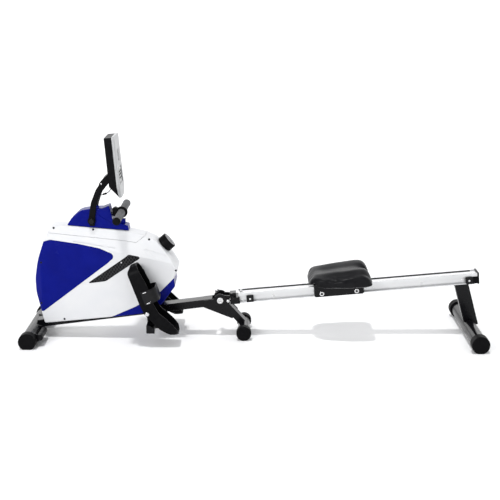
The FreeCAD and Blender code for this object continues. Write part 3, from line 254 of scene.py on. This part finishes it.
def ringed_cap(name, middle, inner):
    """Satin silver inside a radius about an axis along Y, and black outside it."""
    material = finish(name, (0.62, 0.63, 0.65), (0.52, 0.53, 0.55), 0.16, metallic=0.9, mottle=30,
                      spread=0.05)
    tree = material.node_tree
    shader = tree.nodes["Principled BSDF"]
    silver = shader.inputs["Base Color"].links[0].from_socket
    place = tree.nodes.new("ShaderNodeTexCoord")
    flat = tree.nodes.new("ShaderNodeMapping")
    flat.inputs["Location"].default_value = (-middle.x, 0, -middle.z)
    flat.inputs["Scale"].default_value = (1, 0, 1)
    tree.links.new(place.outputs["Object"], flat.inputs["Vector"])
    reach = tree.nodes.new("ShaderNodeVectorMath")
    reach.operation = "LENGTH"
    tree.links.new(flat.outputs["Vector"], reach.inputs[0])
    outside = tree.nodes.new("ShaderNodeMath")
    outside.operation = "GREATER_THAN"
    outside.inputs[1].default_value = inner
    tree.links.new(reach.outputs["Value"], outside.inputs[0])
    mix = tree.nodes.new("ShaderNodeMix")
    mix.data_type = "RGBA"
    tree.links.new(outside.outputs["Value"], mix.inputs["Factor"])
    tree.links.new(silver, mix.inputs["A"])
    mix.inputs["B"].default_value = CAP_RING_COLOUR
    tree.links.new(mix.outputs["Result"], shader.inputs["Base Color"])
    return material


def slot_of(node_name):
    for part in frame["record"]["subparts"]:
        if part["node"] == node_name:
            return part["material_slot"]


def paint(piece, surface):
    """Give a piece one surface: a material, or the name of one in SURFACES."""
    piece.data.materials.clear()
    piece.data.materials.append(SURFACES[surface] if isinstance(surface, str) else surface)


def middle_of(node_name):
    low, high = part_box(node_name)
    return (low + high) / 2


def dress_cad_nodes():
    """Give every CAD node the finish of its material slot, and two of them a finish of their own: ringed
    silver and black on the side caps, and painted shade on the vent grilles.
    """
    for name, piece in nodes.items():
        paint(piece, slot_of(name))
    paint(nodes["side_caps"], ringed_cap("ringed_cap", middle_of("side_caps"), CAP_SILVER_RADIUS))
    # Painted shade: the vent grilles behind the bars stand in for the dark of the housing's inside.
    paint(nodes["vent_grilles"], SHADE_AND_READOUT_DARK)


# ---------------------------------------------------------------- making pieces
WELD_REACH = 1e-6


def piece_from(name, verts, faces, surface, smooth=False):
    mesh = bpy.data.meshes.new(name)
    mesh.from_pydata([tuple(v) for v in verts], [], faces)
    mesh.update()
    for face in mesh.polygons:
        face.use_smooth = smooth
    piece = bpy.data.objects.new(name, mesh)
    scene.collection.objects.link(piece)
    paint(piece, surface)
    return piece


def tidy_mesh(piece):
    """Weld and turn every face outwards."""
    work = bmesh.new()
    work.from_mesh(piece.data)
    bmesh.ops.remove_doubles(work, verts=work.verts, dist=WELD_REACH)
    bmesh.ops.recalc_face_normals(work, faces=work.faces)
    work.to_mesh(piece.data)
    work.free()


def lathe(name, profile, middle, axis, surface, body, count=32):
    """A turned piece: profile is (radius, height along the axis), from the bottom up."""
    axis = Vector(axis).normalized()
    side = axis.orthogonal().normalized()
    other = axis.cross(side)
    verts, faces = [], []
    for radius, height in profile:
        for i in range(count):
            turn = 2 * math.pi * i / count
            spoke = side * math.cos(turn) + other * math.sin(turn)
            verts.append(Vector(middle) + axis * height + spoke * radius)
    for ring in range(len(profile) - 1):
        for i in range(count):
            a, b = ring * count + i, ring * count + (i + 1) % count
            faces.append((a, b, b + count, a + count))
    faces.append(tuple(reversed(range(count))))
    top = (len(profile) - 1) * count
    faces.append(tuple(range(top, top + count)))
    piece = piece_from(name, verts, faces, surface)
    tidy_mesh(piece)
    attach(piece, body)
    return piece


def join_blocks(name, blocks, surface, body, bevel=0.0004):
    """One piece of many small blocks, each given as its lower ring of corners, then its upper."""
    verts, faces = [], []
    for corners in blocks:
        base = len(verts)
        verts += corners
        half = len(corners) // 2
        faces.append(tuple(base + i for i in reversed(range(half))))
        faces.append(tuple(base + half + i for i in range(half)))
        for i in range(half):
            j = (i + 1) % half
            faces.append((base + i, base + j, base + half + j, base + half + i))
    piece = piece_from(name, verts, faces, surface)
    work = bmesh.new()
    work.from_mesh(piece.data)
    bmesh.ops.recalc_face_normals(work, faces=work.faces)
    if bevel:
        bmesh.ops.bevel(work, geom=work.edges[:], offset=bevel, segments=2, affect="EDGES")
    work.to_mesh(piece.data)
    work.free()
    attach(piece, body)
    return piece


# ---------------------------------------------------------------- vents in the housing
VENT_OUTLINE = [(-0.690, 0.238), (-0.611, 0.249), (-0.466, 0.349), (-0.471, 0.357), (-0.513, 0.365)]
VENT_MIDDLE = (-0.575, 0.300)
VENT_SCREW_PLACE = (-0.544, 0.330)
HOUSING_HALF_WIDTH = 0.080
TAPER_START = -0.450
TAPER_SLOPE = 0.0575
BAR_MARGIN = 0.0022
BAR_PITCH = 0.0110
BAR_WIDTH = 0.0032
BAR_REACH = 0.2
BAR_ROOT = 0.0010
BARS_EACH_WAY = 22


def housing_side(x):
    """How far the housing's side stands out from the middle plane: it tapers towards the front."""
    return HOUSING_HALF_WIDTH + TAPER_SLOPE * (min(x, TAPER_START) - TAPER_START)


def clipped(polygon, point, inward):
    """The part of a flat polygon on the side of a line through point that inward points to."""
    kept = []
    for i, (x, z) in enumerate(polygon):
        next_x, next_z = polygon[(i + 1) % len(polygon)]
        height = (x - point[0]) * inward[0] + (z - point[1]) * inward[1]
        next_height = (next_x - point[0]) * inward[0] + (next_z - point[1]) * inward[1]
        if height >= 0:
            kept.append((x, z))
        if (height >= 0) != (next_height >= 0):
            share = height / (height - next_height)
            kept.append((x + (next_x - x) * share, z + (next_z - z) * share))
    return kept


def inside_vent(polygon):
    """A flat polygon cut to the vent's outline, less a margin."""
    for i, (x, z) in enumerate(VENT_OUTLINE):
        next_x, next_z = VENT_OUTLINE[(i + 1) % len(VENT_OUTLINE)]
        length = math.hypot(next_x - x, next_z - z)
        inward = (-(next_z - z) / length, (next_x - x) / length)
        polygon = clipped(polygon, (x + inward[0] * BAR_MARGIN, z + inward[1] * BAR_MARGIN), inward)
    return polygon


def vent_lattice(side, name):
    """Diagonal bars over a vent grille, crossing both ways, on the housing's tapered side."""
    blocks = []
    half = BAR_WIDTH / 2
    for turn, face_depth in ((math.radians(58), 0.0001), (math.radians(-52), 0.0004)):
        run = (math.cos(turn), math.sin(turn))
        cross = (-run[1], run[0])
        for step in range(-BARS_EACH_WAY, BARS_EACH_WAY + 1):
            middle = [VENT_MIDDLE[i] + cross[i] * BAR_PITCH * step for i in (0, 1)]
            corners = [(-BAR_REACH, -half), (BAR_REACH, -half), (BAR_REACH, half), (-BAR_REACH, half)]
            bar = inside_vent([(middle[0] + run[0] * a + cross[0] * b,
                                middle[1] + run[1] * a + cross[1] * b) for a, b in corners])
            if len(bar) < 3:
                continue
            blocks.append([(x, side * (housing_side(x) - depth), z)
                           for depth in (BAR_ROOT, face_depth) for x, z in bar])
    return join_blocks(name, blocks, LATTICE, "frame", bevel=0)


def vent_screws():
    """One bright screw through each vent grille."""
    head = [(0.0028, 0.0), (0.0034, 0.0004), (0.0034, 0.0010), (0.0026, 0.0017), (0.0012, 0.0020)]
    x, z = VENT_SCREW_PLACE
    for side, name in ((-1, "left_vent_screw"), (1, "right_vent_screw")):
        place = (x, side * (housing_side(x) - BAR_ROOT), z)
        lathe(name, head, place, (-TAPER_SLOPE, side, 0), "zinc_steel", "frame", 24)


# ---------------------------------------------------------------- seat pad
# Height along the pad's length: over its two lobes, and along the lower brim outside them.
CREST = [(227, 236), (232, 250), (244, 264), (262, 273), (306, 281), (343, 287), (380, 292), (426, 299),
         (449, 301), (466, 299), (482, 290), (494, 272), (502, 250), (506, 236)]
BRIM = [(227, 234), (236, 256), (250, 265), (280, 268), (340, 267), (384, 271), (416, 278), (440, 285),
        (458, 287), (476, 280), (490, 262), (500, 242), (506, 234)]
SEAT_FRONT, SEAT_REAR = 226.0, 506.0
SEAT_NOSE_HALF_WIDTH = 116
SEAT_WIDENING, SEAT_WIDENING_RUN = 29, 150
SEAT_FRONT_CORNER, SEAT_REAR_CORNER = 62, 52
SKIN_COLUMNS, SKIN_ROWS = 64, 60
SKIN_FRONT, SKIN_REAR = 226.5, 505.0
NOTCH_DEPTH, NOTCH_HALF_WIDTH = 12, 34
PAN_TOP = 0.2404
SKIRT_BOTTOM = 0.2235
SKIRT_RISE = 0.05


def share_of(value):
    """The value, kept from 0 to 1."""
    return min(1.0, max(0.0, value))


def along(table, x):
    """Value at x of a table of (x, value) pairs, joined by straight lines."""
    if x <= table[0][0]:
        return table[0][1]
    for (x0, v0), (x1, v1) in zip(table, table[1:]):
        if x <= x1:
            return v0 + (v1 - v0) * (x - x0) / (x1 - x0)
    return table[-1][1]


def seat_half_width(x):
    """Half the pad's width: it widens backwards, and has round corners at both ends."""
    width = SEAT_NOSE_HALF_WIDTH + SEAT_WIDENING * share_of((x - SEAT_FRONT) / SEAT_WIDENING_RUN)
    for radius, distance in ((SEAT_FRONT_CORNER, x - SEAT_FRONT), (SEAT_REAR_CORNER, SEAT_REAR - x)):
        short = radius - min(radius, distance)
        width -= radius - math.sqrt(radius ** 2 - short ** 2)
    return width


def seat_top(x, share):
    """Height of the seat's upper skin: a channel between two lobes, and a lower brim outside them."""
    crest = along(CREST, x)
    brim = min(along(BRIM, x), crest - 2)
    fade = share_of((x - 240) / 60) * share_of((500 - x) / 30)
    notch = share_of((x - 425) / 45)
    profile = [(0.0, crest - 11 * fade - 9 * notch), (0.12, crest - 10 * fade - 8 * notch),
               (0.30, crest - 4 * fade), (0.48, crest), (0.60, crest - 1),
               (0.74, crest - 0.55 * (crest - brim)), (0.84, brim + 0.5), (0.95, brim - 1),
               (1.0, brim - 7)]
    return along(profile, share)


def seat_base():
    """The seat's closed skin in metres: a lower and an upper sheet of points, joined at the rim."""
    verts, faces = [], []
    for upper in (False, True):
        for i in range(SKIN_COLUMNS + 1):
            x = SKIN_FRONT + (SKIN_REAR - SKIN_FRONT) * i / SKIN_COLUMNS
            half = seat_half_width(x) - 2.5
            for j in range(SKIN_ROWS + 1):
                share = -1 + 2 * j / SKIN_ROWS
                y = share * half
                notch = NOTCH_DEPTH * max(0.0, 1 - (y / NOTCH_HALF_WIDTH) ** 2) * max(0.0, (x - 440) / 64)
                top = max(seat_top(x, abs(share)) - 2, 229 + 0.03 * (x - SEAT_FRONT))
                over_pan = abs(y) < 108 and 240 < x < 490
                bottom = 240.6 if over_pan else 225.0 + SKIRT_RISE * (x - SEAT_FRONT)
                z = top if upper else min(bottom, top - 1.5)
                verts.append(((x - notch) / 1000, y / 1000, z / 1000))
    row = SKIN_ROWS + 1
    sheet = (SKIN_COLUMNS + 1) * row
    for i in range(SKIN_COLUMNS):
        for j in range(SKIN_ROWS):
            a = i * row + j
            b = a + sheet
            faces.append((a, a + 1, a + row + 1, a + row))
            faces.append((b, b + row, b + row + 1, b + 1))
    rim = list(range(row)) + [i * row + SKIN_ROWS for i in range(1, SKIN_COLUMNS + 1)]
    rim += [SKIN_COLUMNS * row + j for j in range(SKIN_ROWS - 1, -1, -1)]
    rim += [i * row for i in range(SKIN_COLUMNS - 1, 0, -1)]
    for a, b in zip(rim, rim[1:] + rim[:1]):
        faces.append((a, a + sheet, b + sheet, b))
    return verts, faces


def off_the_pan(point):
    """A point of the pad, lifted where it would sink into the seat's pan or hang below its skirt."""
    over_pan = abs(point.y) < 0.107 and 0.238 < point.x < 0.492
    lowest = PAN_TOP if over_pan else SKIRT_BOTTOM + SKIRT_RISE * (point.x - SEAT_FRONT / 1000)
    return Vector((point.x, point.y, max(point.z, lowest)))


def apply_modifiers(piece):
    graph = bpy.context.evaluated_depsgraph_get()
    mesh = bpy.data.meshes.new_from_object(piece.evaluated_get(graph))
    piece.modifiers.clear()
    old = piece.data
    piece.data = mesh
    mesh.name = old.name
    bpy.data.meshes.remove(old)


def smooth_out(piece, factor, times):
    smooth = piece.modifiers.new("smooth", "SMOOTH")
    smooth.factor = factor
    smooth.iterations = times


def inflate(piece, pressure, limit, hold):
    """Blow a closed skin up a little as cloth, limit how far it moves, and hold it off its seat."""
    rest = [v.co.copy() for v in piece.data.vertices]
    cloth = piece.modifiers.new("cloth", "CLOTH")
    cloth.settings.use_pressure = True
    cloth.settings.uniform_pressure_force = pressure
    cloth.settings.effector_weights.gravity = 0
    cloth.settings.quality = 5
    cloth.settings.mass = 0.3
    cloth.settings.tension_stiffness = 12
    cloth.settings.compression_stiffness = 12
    for step in range(1, 21):
        scene.frame_set(step)
    graph = bpy.context.evaluated_depsgraph_get()
    moved = [v.co.copy() for v in piece.evaluated_get(graph).data.vertices]
    piece.modifiers.clear()
    scene.frame_set(1)
    for vertex, start, end in zip(piece.data.vertices, rest, moved):
        shift = end - start
        if shift.length > limit:
            shift = shift * (limit / shift.length)
        vertex.co = hold(start + shift)


def seat_pad():
    """The padded seat: its skin rebuilt as an even mesh, blown up a little, and smoothed."""
    verts, faces = seat_base()
    pad = piece_from("seat_cushion", verts, faces, "seat_vinyl", smooth=True)
    tidy_mesh(pad)
    remesh = pad.modifiers.new("remesh", "REMESH")
    remesh.mode = "VOXEL"
    remesh.voxel_size = 0.005
    remesh.use_smooth_shade = True
    apply_modifiers(pad)
    smooth_out(pad, 0.6, 4)
    apply_modifiers(pad)
    inflate(pad, 4.0, 0.006, off_the_pan)
    for vertex in pad.data.vertices:
        vertex.co = off_the_pan(vertex.co)
    smooth_out(pad, 0.5, 5)
    finer = pad.modifiers.new("finer", "SUBSURF")
    finer.levels = 1
    finer.render_levels = 1
    apply_modifiers(pad)
    for face in pad.data.polygons:
        face.use_smooth = True
    paint(pad, "seat_vinyl")
    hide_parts("seat_pad")
    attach(pad, "seat")


# ---------------------------------------------------------------- strap and lead
STRAP_HALF_WIDTH = 0.010
STRAP_THICKNESS = 0.002
STRAP_OFF_IDLER = 0.0015
# The strap climbs in a straight line from the drum's front side. The line stops one step early,
# and that step crosses to the idler's front side. The turns are degrees round the idler.
STRAP_FOOT = (-0.5050, 0.2709)
STRAP_CLIMB = (-0.0964, 0.2385)
STRAP_MEETS_IDLER, STRAP_LEAVES_IDLER = 203.8, 90.0
STRAP_OUTER_LENGTH = 0.033
CLIMB_STEPS, TURN_STEPS, OUTER_STEPS = 12, 8, 24

LEAD_ROUTE = [(-0.575, 0.001, 0.643), (-0.586, -0.0035, 0.628), (-0.598, -0.008, 0.612),
              (-0.616, -0.020, 0.607), (-0.636, -0.034, 0.604)]
LEAD_RADIUS = 0.0016


def ribbon(name, path, half_width, thickness, surface):
    """A flat strap along a path in the XZ plane, with slightly rounded edges."""
    section = [(-1, -0.6), (-0.96, -1), (0.96, -1), (1, -0.6), (1, 0.6), (0.96, 1), (-0.96, 1), (-1, 0.6)]
    verts, faces = [], []
    for i, point in enumerate(path):
        before, after = path[max(0, i - 1)], path[min(len(path) - 1, i + 1)]
        run = Vector((after[0] - before[0], 0, after[1] - before[1])).normalized()
        up = Vector((-run.z, 0, run.x))
        for a, b in section:
            verts.append(Vector((point[0], a * half_width, point[1])) + up * b * thickness / 2)
    count = len(section)
    for i in range(len(path) - 1):
        for j in range(count):
            k = (j + 1) % count
            faces.append((i * count + j, i * count + k, (i + 1) * count + k, (i + 1) * count + j))
    faces.append(tuple(range(count)))
    last = (len(path) - 1) * count
    faces.append(tuple(last + i for i in reversed(range(count))))
    piece = piece_from(name, verts, faces, surface)
    tidy_mesh(piece)
    return piece


def pull_strap():
    """The strap: a fixed run from the drum round the idler, and a short straight run out from the idler's
    top, in a mesh with no parent.
    """
    low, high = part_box("strap_idler")
    idler = (low + high) / 2
    radius = (high.x - low.x) / 2 + STRAP_OFF_IDLER
    inner = [(STRAP_FOOT[0] + STRAP_CLIMB[0] * i / CLIMB_STEPS,
              STRAP_FOOT[1] + STRAP_CLIMB[1] * i / CLIMB_STEPS) for i in range(CLIMB_STEPS)]
    turned = STRAP_MEETS_IDLER - STRAP_LEAVES_IDLER
    for i in range(TURN_STEPS + 1):
        turn = math.radians(STRAP_MEETS_IDLER - turned * i / TURN_STEPS)
        inner.append((idler.x + radius * math.cos(turn), idler.z + radius * math.sin(turn)))
    inner_run = ribbon("strap_inner_run", inner, STRAP_HALF_WIDTH, STRAP_THICKNESS, "strap_web")
    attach(inner_run, "frame")
    level = idler.z + radius
    outer = [(idler.x + STRAP_OUTER_LENGTH * i / OUTER_STEPS, level) for i in range(OUTER_STEPS + 1)]
    outer_run = ribbon("strap_outer_run", outer, STRAP_HALF_WIDTH, STRAP_THICKNESS, "strap_web")
    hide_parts("pull_strap")
    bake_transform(outer_run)


def console_lead():
    """The lead from the console's underside, with its in-line plug on the yoke's left arm."""
    curve = bpy.data.curves.new("lead_route", "CURVE")
    curve.dimensions = "3D"
    spline = curve.splines.new("NURBS")
    spline.points.add(len(LEAD_ROUTE) - 1)
    for point, place in zip(spline.points, LEAD_ROUTE):
        point.co = (*place, 1)
    spline.order_u = 3
    spline.use_endpoint_u = True
    curve.resolution_u = 8
    curve.bevel_depth = LEAD_RADIUS
    curve.bevel_resolution = 3
    curve.use_fill_caps = True
    holder = bpy.data.objects.new("lead_route", curve)
    scene.collection.objects.link(holder)
    bpy.context.view_layer.update()
    mesh = bpy.data.meshes.new_from_object(holder.evaluated_get(bpy.context.evaluated_depsgraph_get()))
    bpy.data.objects.remove(holder)
    lead = bpy.data.objects.new("computer_lead", mesh)
    scene.collection.objects.link(lead)
    for face in mesh.polygons:
        face.use_smooth = True
    paint(lead, "wheel_rubber")
    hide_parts("console_lead")
    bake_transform(lead)
    plug = [(0.0018, -0.001), (0.0030, 0.0), (0.0040, 0.0015), (0.0040, 0.0080), (0.0034, 0.0090),
            (0.0040, 0.0100), (0.0040, 0.0155), (0.0028, 0.0175), (0.0018, 0.0185)]
    lathe("lead_plug", plug, (-0.6040, -0.0120, 0.6105), (-0.017, -0.0125, -0.0035), "black_plastic",
          "console_yoke", 20)


# ---------------------------------------------------------------- pedals and seat bolts
PEDAL_LEAN = math.radians(20)
PEDAL_ORIGIN = (-0.503, 0.311)
# Painted highlights on the foot straps' slots: their places down the sole, how far across the pedal they
# sit, and their size.
SLOT_HIGHLIGHTS_DOWN_SOLE = (0.0925, 0.1395)
SLOT_HIGHLIGHT_INNER, SLOT_HIGHLIGHT_OUTER = 0.1976, 0.2006
SLOT_HIGHLIGHT_HALF_LENGTH = 0.0018
SLOT_HIGHLIGHT_BOTTOM, SLOT_HIGHLIGHT_TOP = 0.026, 0.042
BOLT_HEAD_RADIUS = 0.010
SOCKET_DEPTH = 0.0030


def on_pedal(down, across, out):
    """A point given down the sole from its toe, across it and out of it."""
    return Vector((PEDAL_ORIGIN[0] + down * math.sin(PEDAL_LEAN) + out * math.cos(PEDAL_LEAN), across,
                   PEDAL_ORIGIN[1] - down * math.cos(PEDAL_LEAN) + out * math.sin(PEDAL_LEAN)))


def painted_slot_highlights():
    """Painted highlights: bright zinc bars on the pedals' outer walls where the foot straps pass through,
    standing in for the highlights on the slots' edges.
    """
    half = SLOT_HIGHLIGHT_HALF_LENGTH
    ring = [(-half, SLOT_HIGHLIGHT_BOTTOM), (half, SLOT_HIGHLIGHT_BOTTOM), (half, SLOT_HIGHLIGHT_TOP), (-half, SLOT_HIGHLIGHT_TOP)]
    for side, foot in ((-1, "left"), (1, "right")):
        bars = [[on_pedal(place + down, side * across, out)
                 for across in (SLOT_HIGHLIGHT_INNER, SLOT_HIGHLIGHT_OUTER) for down, out in ring]
                for place in SLOT_HIGHLIGHTS_DOWN_SOLE]
        join_blocks(foot + "_painted_slot_highlights", bars, "zinc_steel", foot + "_pedal",
                    bevel=0.0006)


def painted_socket_shade():
    """Painted shade: dark discs deep in the sockets of the carriage's four bolts, standing in for the
    shade inside them.
    """
    dish = [(0.0049, 0.0), (0.0049, 0.0006), (0.0038, 0.0010), (0.0015, 0.0008)]
    low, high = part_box("roller_bolts")
    front = (low.x + BOLT_HEAD_RADIUS, low.z + BOLT_HEAD_RADIUS)
    rear = (high.x - BOLT_HEAD_RADIUS, high.z - BOLT_HEAD_RADIUS)
    for number, (x, z) in enumerate((front, rear)):
        for side, word in ((-1, "left"), (1, "right")):
            place = (x, side * (high.y - SOCKET_DEPTH), z)
            lathe("bolt_socket_shade_%d_%s" % (number + 1, word), dish, place, (0, side, 0), SHADE_AND_READOUT_DARK,
                  "seat", 24)


# ---------------------------------------------------------------- console and its yoke
CONSOLE_LEAN = math.radians(5.0)
CONSOLE_FOOT = (-0.5465, 0.598)
# How far each of the face's details stands out of the console: where it starts and where it ends.
LCD_DEPTH = (0.0073, 0.0077)
READOUT_DEPTH = (0.00768, 0.0079)
KEY_DEPTH = (0.0085, 0.0102)
STRIP_DEPTH = (0.0089, 0.0096)
LCD_ACROSS, LCD_UP = (-0.036, 0.036), (0.066, 0.114)
READOUT_ROWS = ((0.104, 4, 0.011), (0.092, 2, 0.026), (0.078, 4, 0.011))
READOUT_SPAN = 0.064
READOUT_HALF_HEIGHT = 0.0035
KEY_PLACES = ((-0.011, 0.186), (0.011, 0.186), (-0.011, 0.171), (0.011, 0.171), (0.0, 0.156))
KEY_HALF_WIDTH, KEY_HALF_HEIGHT = 0.0075, 0.0050
FRAME_STRIPS = ((-0.049, 0.049, 0.055, 0.058), (-0.049, 0.049, 0.122, 0.125),
                (-0.049, -0.046, 0.058, 0.122), (0.046, 0.049, 0.058, 0.122))
YOKE_SCREW_PLACE = (-0.6205, 0.0438, 0.6560)


def console_block(depth, across, up):
    """A block on the leaning console, from three (least, most) pairs.

    They are how far it stands out of the console towards the rower, across it, and up its face.
    """
    corners = []
    for x in depth:
        for y, z in ((across[0], up[0]), (across[1], up[0]), (across[1], up[1]), (across[0], up[1])):
            corners.append(Vector((
                CONSOLE_FOOT[0] + x * math.cos(CONSOLE_LEAN) - z * math.sin(CONSOLE_LEAN), y,
                CONSOLE_FOOT[1] + z * math.cos(CONSOLE_LEAN) + x * math.sin(CONSOLE_LEAN))))
    return corners


def console_details():
    """The liquid-crystal panel with its readouts, the keys, and a frame round the display."""
    panel = [console_block(LCD_DEPTH, LCD_ACROSS, LCD_UP)]
    join_blocks("lcd_panel", panel, LCD, "console", bevel=0.0001)
    readouts = []
    for z, count, width in READOUT_ROWS:
        for i in range(count):
            y = (i - (count - 1) / 2) * (READOUT_SPAN / count)
            readouts.append(console_block(READOUT_DEPTH, (y - width / 2, y + width / 2),
                                          (z - READOUT_HALF_HEIGHT, z + READOUT_HALF_HEIGHT)))
    join_blocks("lcd_readouts", readouts, SHADE_AND_READOUT_DARK, "console", bevel=0)
    keys = [console_block(KEY_DEPTH, (y - KEY_HALF_WIDTH, y + KEY_HALF_WIDTH),
                          (z - KEY_HALF_HEIGHT, z + KEY_HALF_HEIGHT)) for y, z in KEY_PLACES]
    join_blocks("console_keys", keys, "light_grey_plastic", "console",
                bevel=0.0007)
    strips = [console_block(STRIP_DEPTH, (y0, y1), (z0, z1)) for y0, y1, z0, z1 in FRAME_STRIPS]
    join_blocks("display_frame", strips, "silver_plastic", "console", bevel=0.0002)


def yoke_screws():
    """A small bright screw on the side of each yoke arm, below the console."""
    head = [(0.0030, 0.0), (0.0036, 0.0004), (0.0036, 0.0012), (0.0028, 0.0018), (0.0012, 0.0021)]
    x, y, z = YOKE_SCREW_PLACE
    for side, name in ((-1, "left_yoke_screw"), (1, "right_yoke_screw")):
        lathe(name, head, (x, side * y, z), (0, side, 0), "zinc_steel", "console_yoke", 24)


make_camera()
make_stage()
dress_cad_nodes()
vent_lattice(-1, "left_vent_lattice")
vent_lattice(1, "right_vent_lattice")
vent_screws()
yoke_screws()
seat_pad()
pull_strap()
console_lead()
painted_slot_highlights()
painted_socket_shade()
console_details()
